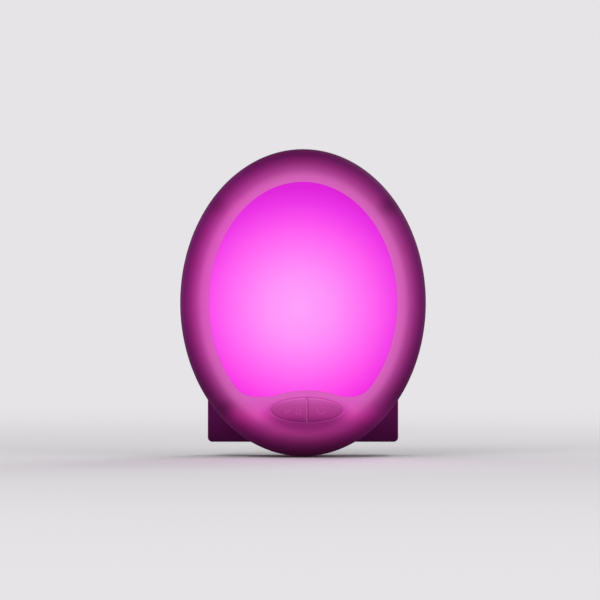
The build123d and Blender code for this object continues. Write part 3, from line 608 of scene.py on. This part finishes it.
# Pieces of one stuff all through: two tones in soft patches, with a fine grain (sizes in mm)
nylonLook = {
    "tones": ("#E6E2D5", "#F2F0E7"), "patch": 3.0, "grain": 0.25, "grainDepth": 0.01,
    "metallic": 0.0, "roughness": 0.48, "ior": 1.53,
}
plainLooks = {
    "steelZincPlated": {  # bright, faintly blue and cloudy from the plating bath
        "on": [name for name in nodes if name.endswith("_screws")],
        "tones": ("#A9AEB5", "#C9CDD3"), "patch": 0.8, "grain": 0.15, "grainDepth": 0.004,
        "metallic": 1.0, "roughness": 0.34,
    },
    "nylonMoulded": {  # creamy and faintly cloudy, satin from the mould
        "on": ["blade_retainer", "link_header_spacer"], **nylonLook,
    },
    "nylonMouldedLit": {  # the same nylon close to the lamps, pink with their light between the buttons
        "on": ["button_guide"], **nylonLook, "glow": "#5E3C56",
    },
    "epoxyMoulded": {  # near-black and matt, with a fine speckle of silica filler
        "on": ["driver_chip", "controller_chip"],
        "tones": ("#1A1A1C", "#262628"), "patch": 0.12, "grain": 0.1, "grainDepth": 0.006,
        "metallic": 0.0, "roughness": 0.62, "ior": 1.55,
    },
    "brassTinned": {  # pale, soft-edged shine with dull crystal patches
        "on": ["link_header_pins", "driver_chip_legs", "controller_chip_legs", "switch_terminals"],
        "tones": ("#C4C2BC", "#DEDCD6"), "patch": 0.3, "grain": 0.08, "grainDepth": 0.003,
        "metallic": 1.0, "roughness": 0.32,
    },
    "polyamideMoulded": {  # chalk-white lamp bodies
        "on": ["led_packages"],
        "tones": ("#ECECE8", "#F8F8F5"), "patch": 0.6, "grain": 0.1, "grainDepth": 0.004,
        "metallic": 0.0, "roughness": 0.55, "ior": 1.55,
    },
    "polyesterBlackMoulded": {  # dark switch bodies and plungers, slightly greyed by the mould
        "on": [f"{use}_switch_{piece}" for use in ("mode", "power") for piece in ("base", "plunger")],
        "tones": ("#141416", "#212124"), "patch": 0.9, "grain": 0.15, "grainDepth": 0.008,
        "metallic": 0.0, "roughness": 0.5, "ior": 1.57,
    },
    "stainlessRolled": {  # neutral grey spring strip with a fine rolled haze
        "on": [f"{use}_switch_{piece}" for use in ("mode", "power") for piece in ("dome", "cover")],
        "tones": ("#B4B4B6", "#CFCFD0"), "patch": 0.5, "grain": 0.1, "grainDepth": 0.002,
        "metallic": 1.0, "roughness": 0.27,
    },
}
patchLook = {"detail": 3.0, "toneRange": (0.3, 0.7)}  # where in the noise one tone turns into the other


def plainFinish(name, look):
    material, tree, place = newMaterial(name)
    patch = addNode(tree, "ShaderNodeTexNoise", {
        "Vector": place, "Scale": perMetre(look["patch"]), "Detail": patchLook["detail"],
    })
    tone = addNode(tree, "ShaderNodeValToRGB", {
        "Fac": patch.outputs["Fac"],
    }, stops=list(zip(patchLook["toneRange"], look["tones"])))
    grain = addNode(tree, "ShaderNodeTexNoise", {"Vector": place, "Scale": perMetre(look["grain"])})
    roughness = addNode(tree, "ShaderNodeMapRange", {
        "Value": patch.outputs["Fac"],
        "To Min": look["roughness"] - grainLook["roughSwing"],
        "To Max": look["roughness"] + grainLook["roughSwing"],
    })
    bump = addNode(tree, "ShaderNodeBump", {
        "Height": grain.outputs["Fac"],
        "Strength": grainLook["strength"], "Distance": look["grainDepth"] * mm,
    })
    shader = addNode(tree, "ShaderNodeBsdfPrincipled", {
        "Base Color": tone.outputs["Color"], "Metallic": look["metallic"],
        "Roughness": roughness.outputs["Result"], "Normal": bump.outputs["Normal"],
    })
    if "ior" in look:
        shader.inputs["IOR"].default_value = look["ior"]
    if "glow" in look:
        shader.inputs["Emission Color"].default_value = linear(look["glow"])
        shader.inputs["Emission Strength"].default_value = 1.0
    addNode(tree, "ShaderNodeOutputMaterial", {"Surface": shader.outputs["BSDF"]})
    return material


for name, look in plainLooks.items():
    finishWith(plainFinish(name, look), *look["on"])

# Boards: glass cloth laminate under a screened solder mask, so the cloth's weave shows faintly in the gloss
boardLooks = {
    "solderMaskScreenedGreen": {"on": "driver_board", "tones": ("#14532B", "#1C6B38"), "roughness": 0.34},
    "solderMaskScreenedWhite": {"on": "led_board", "tones": ("#E4E4DF", "#F4F4F0"), "roughness": 0.4},
}
weaveLook = {
    "thread": 3.14, "depth": 0.006,  # mm, threads drawn wider apart than the real 0.5 so that they show
    "wander": 0.4, "detail": 1.0, "strength": 0.4,
    "toneRange": (0.1, 0.9), "roughSwing": 0.06, "ior": 1.52,
}
waveTurn = 20.0  # radians that the wave texture goes through in one unit of its scale


def boardFinish(name, look):
    material, tree, place = newMaterial(name)
    threads = []
    for direction in ("X", "Z"):
        wave = addNode(tree, "ShaderNodeTexWave", {
            "Vector": place, "Scale": perMetre(weaveLook["thread"]) * math.tau / waveTurn,
            "Distortion": weaveLook["wander"], "Detail": weaveLook["detail"],
        }, bands_direction=direction)
        threads.append(wave.outputs["Fac"])
    weave = addNode(tree, "ShaderNodeMath", {0: threads[0], 1: threads[1]}, operation="MULTIPLY")
    tone = addNode(tree, "ShaderNodeValToRGB", {
        "Fac": weave.outputs["Value"],
    }, stops=list(zip(weaveLook["toneRange"], look["tones"])))
    roughness = addNode(tree, "ShaderNodeMapRange", {
        "Value": weave.outputs["Value"],
        "To Min": look["roughness"] + weaveLook["roughSwing"],
        "To Max": look["roughness"] - weaveLook["roughSwing"],
    })
    bump = addNode(tree, "ShaderNodeBump", {
        "Height": weave.outputs["Value"],
        "Strength": weaveLook["strength"], "Distance": weaveLook["depth"] * mm,
    })
    shader = addNode(tree, "ShaderNodeBsdfPrincipled", {
        "Base Color": tone.outputs["Color"], "Roughness": roughness.outputs["Result"],
        "IOR": weaveLook["ior"], "Normal": bump.outputs["Normal"],
    })
    addNode(tree, "ShaderNodeOutputMaterial", {"Surface": shader.outputs["BSDF"]})
    return material


for name, look in boardLooks.items():
    finishWith(boardFinish(name, look), look["on"])

# Parts with wire leads: the body has its own colours along X, and what is past the board's face is tinned
leadedLooks = {
    "polyesterBoxPotted": {  # glossy yellow box of the film capacitor, a little deeper at its ends
        "on": "film_capacitor", "stops": [(0.0, "#C98F1E"), (0.5, "#D9A126"), (1.0, "#C98F1E")],
        "interpolation": "LINEAR", "standoff": 0.0, "wireEnd": 0.0, "roughness": 0.36, "ior": 1.56,
    },
    "vinylSleeveShrunk": {  # dark blue sleeve with a pale stripe down one side
        "on": "smoothing_capacitor", "stops": [(0.0, "#171E3C"), (0.8, "#B9BCC8")],
        "interpolation": "CONSTANT", "standoff": 0.0, "wireEnd": 0.0, "roughness": 0.3, "ior": 1.53,
    },
    "epoxyBlockMoulded": {  # matt black rectifier with a lighter end at its marked side
        "on": "bridge_rectifier", "stops": [(0.0, "#3A3A3D"), (0.12, "#1C1C1E")],
        "interpolation": "CONSTANT", "standoff": 0.5, "wireEnd": 0.0, "roughness": 0.55, "ior": 1.55,
    },
    "enamelDipped": {  # grey-blue flameproof enamel with colour bands
        "on": "fusible_resistor",
        "stops": [
            (0.0, "#4A6B7C"), (0.27, "#5B3A20"), (0.33, "#4A6B7C"), (0.41, "#16161A"), (0.47, "#4A6B7C"),
            (0.55, "#5B3A20"), (0.61, "#4A6B7C"), (0.72, "#B8923E"), (0.78, "#4A6B7C"),
        ],
        "interpolation": "CONSTANT", "standoff": 0.0, "wireEnd": 1.6, "roughness": 0.45, "ior": 1.5,
    },
}  # standoff above the board and wire end in mm
tinLook = {"colour": "#D2D0CA", "roughness": 0.3}
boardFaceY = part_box("driver_board")[0].y
endMargin = 0.01 * mm  # keeps a body's end faces in the body's own colour


def leadedFinish(name, look):
    material, tree, place = newMaterial(name)
    low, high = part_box(look["on"])
    axes = addNode(tree, "ShaderNodeSeparateXYZ", {"Vector": place})
    across = addNode(tree, "ShaderNodeMapRange", {
        "Value": axes.outputs["X"], "From Min": low.x, "From Max": high.x,
    })
    body = addNode(tree, "ShaderNodeValToRGB", {"Fac": across.outputs["Result"]}, stops=look["stops"])
    body.color_ramp.interpolation = look["interpolation"]
    # Wire where the piece has passed the board's face, or beyond the body's ends
    past = addNode(tree, "ShaderNodeMath", {
        0: axes.outputs["Y"], 1: boardFaceY - look["standoff"] * mm,
    }, operation="GREATER_THAN")
    middle = addNode(tree, "ShaderNodeMath", {
        0: axes.outputs["X"], 1: (low.x + high.x) / 2,
    }, operation="SUBTRACT")
    reach = addNode(tree, "ShaderNodeMath", {0: middle.outputs["Value"]}, operation="ABSOLUTE")
    beyond = addNode(tree, "ShaderNodeMath", {
        0: reach.outputs["Value"], 1: (high.x - low.x) / 2 - look["wireEnd"] * mm + endMargin,
    }, operation="GREATER_THAN")
    wire = addNode(tree, "ShaderNodeMath", {
        0: past.outputs["Value"], 1: beyond.outputs["Value"],
    }, operation="MAXIMUM")
    colour = addNode(tree, "ShaderNodeMix", {
        mixShare: wire.outputs["Value"], mixFrom: body.outputs["Color"], mixTo: linear(tinLook["colour"]),
    }, data_type="RGBA")
    roughness = addNode(tree, "ShaderNodeMapRange", {
        "Value": wire.outputs["Value"], "To Min": look["roughness"], "To Max": tinLook["roughness"],
    })
    shader = addNode(tree, "ShaderNodeBsdfPrincipled", {
        "Base Color": colour.outputs[mixed], "Metallic": wire.outputs["Value"],
        "Roughness": roughness.outputs["Result"], "IOR": look["ior"],
    })
    addNode(tree, "ShaderNodeOutputMaterial", {"Surface": shader.outputs["BSDF"]})
    return material


for name, look in leadedLooks.items():
    finishWith(leadedFinish(name, look), look["on"])

# Chip resistors: black fired glass on ceramic, with bright tinned ends
chipResistorLook = {"glass": "#1B1B20", "endShare": 0.62, "roughness": 0.3, "ior": 1.52}


def chipResistorFinish():
    look = chipResistorLook
    material, tree, place = newMaterial("glassFiredTinnedEnds")
    low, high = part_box("led_resistors")
    axes = addNode(tree, "ShaderNodeSeparateXYZ", {"Vector": place})
    middle = addNode(tree, "ShaderNodeMath", {
        0: axes.outputs["Z"], 1: (low.z + high.z) / 2,
    }, operation="SUBTRACT")
    reach = addNode(tree, "ShaderNodeMath", {0: middle.outputs["Value"]}, operation="ABSOLUTE")
    end = addNode(tree, "ShaderNodeMath", {
        0: reach.outputs["Value"], 1: look["endShare"] * (high.z - low.z) / 2,
    }, operation="GREATER_THAN")
    colour = addNode(tree, "ShaderNodeMix", {
        mixShare: end.outputs["Value"], mixFrom: linear(look["glass"]), mixTo: linear(tinLook["colour"]),
    }, data_type="RGBA")
    shader = addNode(tree, "ShaderNodeBsdfPrincipled", {
        "Base Color": colour.outputs[mixed], "Metallic": end.outputs["Value"],
        "Roughness": look["roughness"], "IOR": look["ior"],
    })
    addNode(tree, "ShaderNodeOutputMaterial", {"Surface": shader.outputs["BSDF"]})
    return material


# Lamp windows: cast silicone over the chips, glassy, with a soft swirl of light in it
windowLook = {
    "tones": ("#F0C2EA", "#FFE3FC"), "toneRange": (0.35, 0.65), "swirl": 0.8,  # mm
    "roughness": 0.18, "ior": 1.41, "glow": 0.6,
}


def windowFinish():
    look = windowLook
    material, tree, place = newMaterial("siliconeCast")
    swirl = addNode(tree, "ShaderNodeTexNoise", {"Vector": place, "Scale": perMetre(look["swirl"])})
    tone = addNode(tree, "ShaderNodeValToRGB", {
        "Fac": swirl.outputs["Fac"],
    }, stops=list(zip(look["toneRange"], look["tones"])))
    shader = addNode(tree, "ShaderNodeBsdfPrincipled", {
        "Base Color": tone.outputs["Color"], "Roughness": look["roughness"], "IOR": look["ior"],
        "Emission Color": tone.outputs["Color"], "Emission Strength": look["glow"],
    })
    addNode(tree, "ShaderNodeOutputMaterial", {"Surface": shader.outputs["BSDF"]})
    return material


finishWith(chipResistorFinish(), "led_resistors")
finishWith(windowFinish(), "led_windows")


def springDome(use):
    solid = nodes[f"{use}_switch_dome"]
    dome = bpy.data.objects.new(f"{use}_snap_dome", solid.data.copy())
    bpy.context.scene.collection.objects.link(dome)
    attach(dome, "case")
    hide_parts(solid.name)
    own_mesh(dome)


for use in ("mode", "power"):
    springDome(use)
print("inner pieces finished")

# Floor: pale painted board that turns into the backdrop's own colour far from the object
stageLook = {
    "pale": "#E6E4E7", "board": "#F1EFF2", "floorSides": 96,
    "floorRadius": 3.0, "floorGap": 0.0003, "fadeFrom": 0.1, "fadeTo": 0.75,  # metres
    "worldColour": "#FFFFFF", "worldLight": 0.42,
}


def layFloor():
    look = stageLook
    bpy.ops.mesh.primitive_circle_add(
        vertices=look["floorSides"], radius=look["floorRadius"], fill_type="NGON",
        location=(0, 0, cadBounds[0].z - look["floorGap"]))
    floor = bpy.context.object
    floor.name = "floor"
    material, tree, place = newMaterial("palePaintedBoard")
    apart = addNode(tree, "ShaderNodeVectorMath", {0: place}, operation="LENGTH")
    fade = addNode(tree, "ShaderNodeMapRange", {
        "Value": apart.outputs["Value"], "From Min": look["fadeFrom"], "From Max": look["fadeTo"],
    }, interpolation_type="SMOOTHSTEP")
    board = addNode(tree, "ShaderNodeBsdfDiffuse", {"Color": linear(look["board"])})
    far = addNode(tree, "ShaderNodeEmission", {"Color": linear(look["pale"])})
    faded = addNode(tree, "ShaderNodeMixShader", {
        0: fade.outputs["Result"], 1: board.outputs["BSDF"], 2: far.outputs["Emission"],
    })
    # Seen from below, the board is clear
    side = addNode(tree, "ShaderNodeNewGeometry").outputs["Backfacing"]
    clear = addNode(tree, "ShaderNodeBsdfTransparent")
    surface = addNode(tree, "ShaderNodeMixShader", {
        0: side, 1: faded.outputs["Shader"], 2: clear.outputs["BSDF"],
    })
    addNode(tree, "ShaderNodeOutputMaterial", {"Surface": surface.outputs["Shader"]})
    floor.data.materials.append(material)


# World: soft white light, which shows as the pale backdrop to the eye, in gloss and through glass
def lightWorld():
    world = bpy.data.worlds.new("paleRoom")
    bpy.context.scene.world = world
    world.use_nodes = True
    tree = world.node_tree
    tree.nodes.clear()
    rays = addNode(tree, "ShaderNodeLightPath")
    seen = addNode(tree, "ShaderNodeMath", {
        0: rays.outputs["Is Camera Ray"], 1: rays.outputs["Is Glossy Ray"],
    }, operation="MAXIMUM")
    shown = addNode(tree, "ShaderNodeMath", {
        0: seen.outputs["Value"], 1: rays.outputs["Is Transmission Ray"],
    }, operation="MAXIMUM")
    soft = addNode(tree, "ShaderNodeBackground", {
        "Color": linear(stageLook["worldColour"]), "Strength": stageLook["worldLight"],
    })
    pale = addNode(tree, "ShaderNodeBackground", {"Color": linear(stageLook["pale"])})
    backdrop = addNode(tree, "ShaderNodeMixShader", {
        0: shown.outputs["Value"], 1: soft.outputs["Background"], 2: pale.outputs["Background"],
    })
    addNode(tree, "ShaderNodeOutputWorld", {"Surface": backdrop.outputs["Shader"]})


# Softboxes: a key above left of the viewer, a fill at the right, and two behind for the back
softboxes = {
    "key": {"place": (-0.45, -0.75, 0.65), "size": 0.6, "power": 2.6},
    "fill": {"place": (0.7, -0.65, 0.25), "size": 0.8, "power": 2.2},
    "backKey": {"place": (0.5, 0.75, 0.6), "size": 0.6, "power": 3.0},
    "backFill": {"place": (-0.7, 0.6, 0.2), "size": 0.8, "power": 1.8},
}
softboxAimY = -0.02  # about halfway from the plug face to the front of the lens


def hangSoftboxes():
    target = bpy.data.objects.new("softboxTarget", None)
    target.location = (0, softboxAimY, caseCentreZ)
    bpy.context.scene.collection.objects.link(target)
    for name, box in softboxes.items():
        lamp = bpy.data.lights.new(name, "AREA")
        lamp.size = box["size"]
        lamp.energy = box["power"]
        holder = bpy.data.objects.new(name, lamp)
        holder.location = box["place"]
        aim = holder.constraints.new("TRACK_TO")
        aim.target = target
        aim.track_axis = "TRACK_NEGATIVE_Z"
        aim.up_axis = "UP_Y"
        bpy.context.scene.collection.objects.link(holder)


# Camera: straight on, with the case where the photograph has it, in the photograph's 600 by 600 pixels
cameraLook = {
    "frameSide": 600, "caseCentrePixel": (303.0, 302.7), "caseHalfHeightPixels": 153.3,
    "distance": 1.5, "sensor": 36.0,  # metres, and mm
}


def setCamera():
    look = cameraLook
    pixel = caseHalfHeight / look["caseHalfHeightPixels"]
    middle = look["frameSide"] / 2
    camera = bpy.data.cameras.new("frontCamera")
    camera.sensor_width = look["sensor"]
    camera.lens = look["sensor"] * look["distance"] / (look["frameSide"] * pixel)
    holder = bpy.data.objects.new("frontCamera", camera)
    holder.location = (
        -(look["caseCentrePixel"][0] - middle) * pixel,
        partingY - look["distance"],
        caseCentreZ + (look["caseCentrePixel"][1] - middle) * pixel,
    )
    holder.rotation_euler = (math.pi / 2, 0, 0)
    bpy.context.scene.collection.objects.link(holder)
    bpy.context.scene.camera = holder


layFloor()
lightWorld()
hangSoftboxes()
setCamera()
bpy.context.scene.view_settings.view_transform = "Standard"
print("stage, light and camera set")
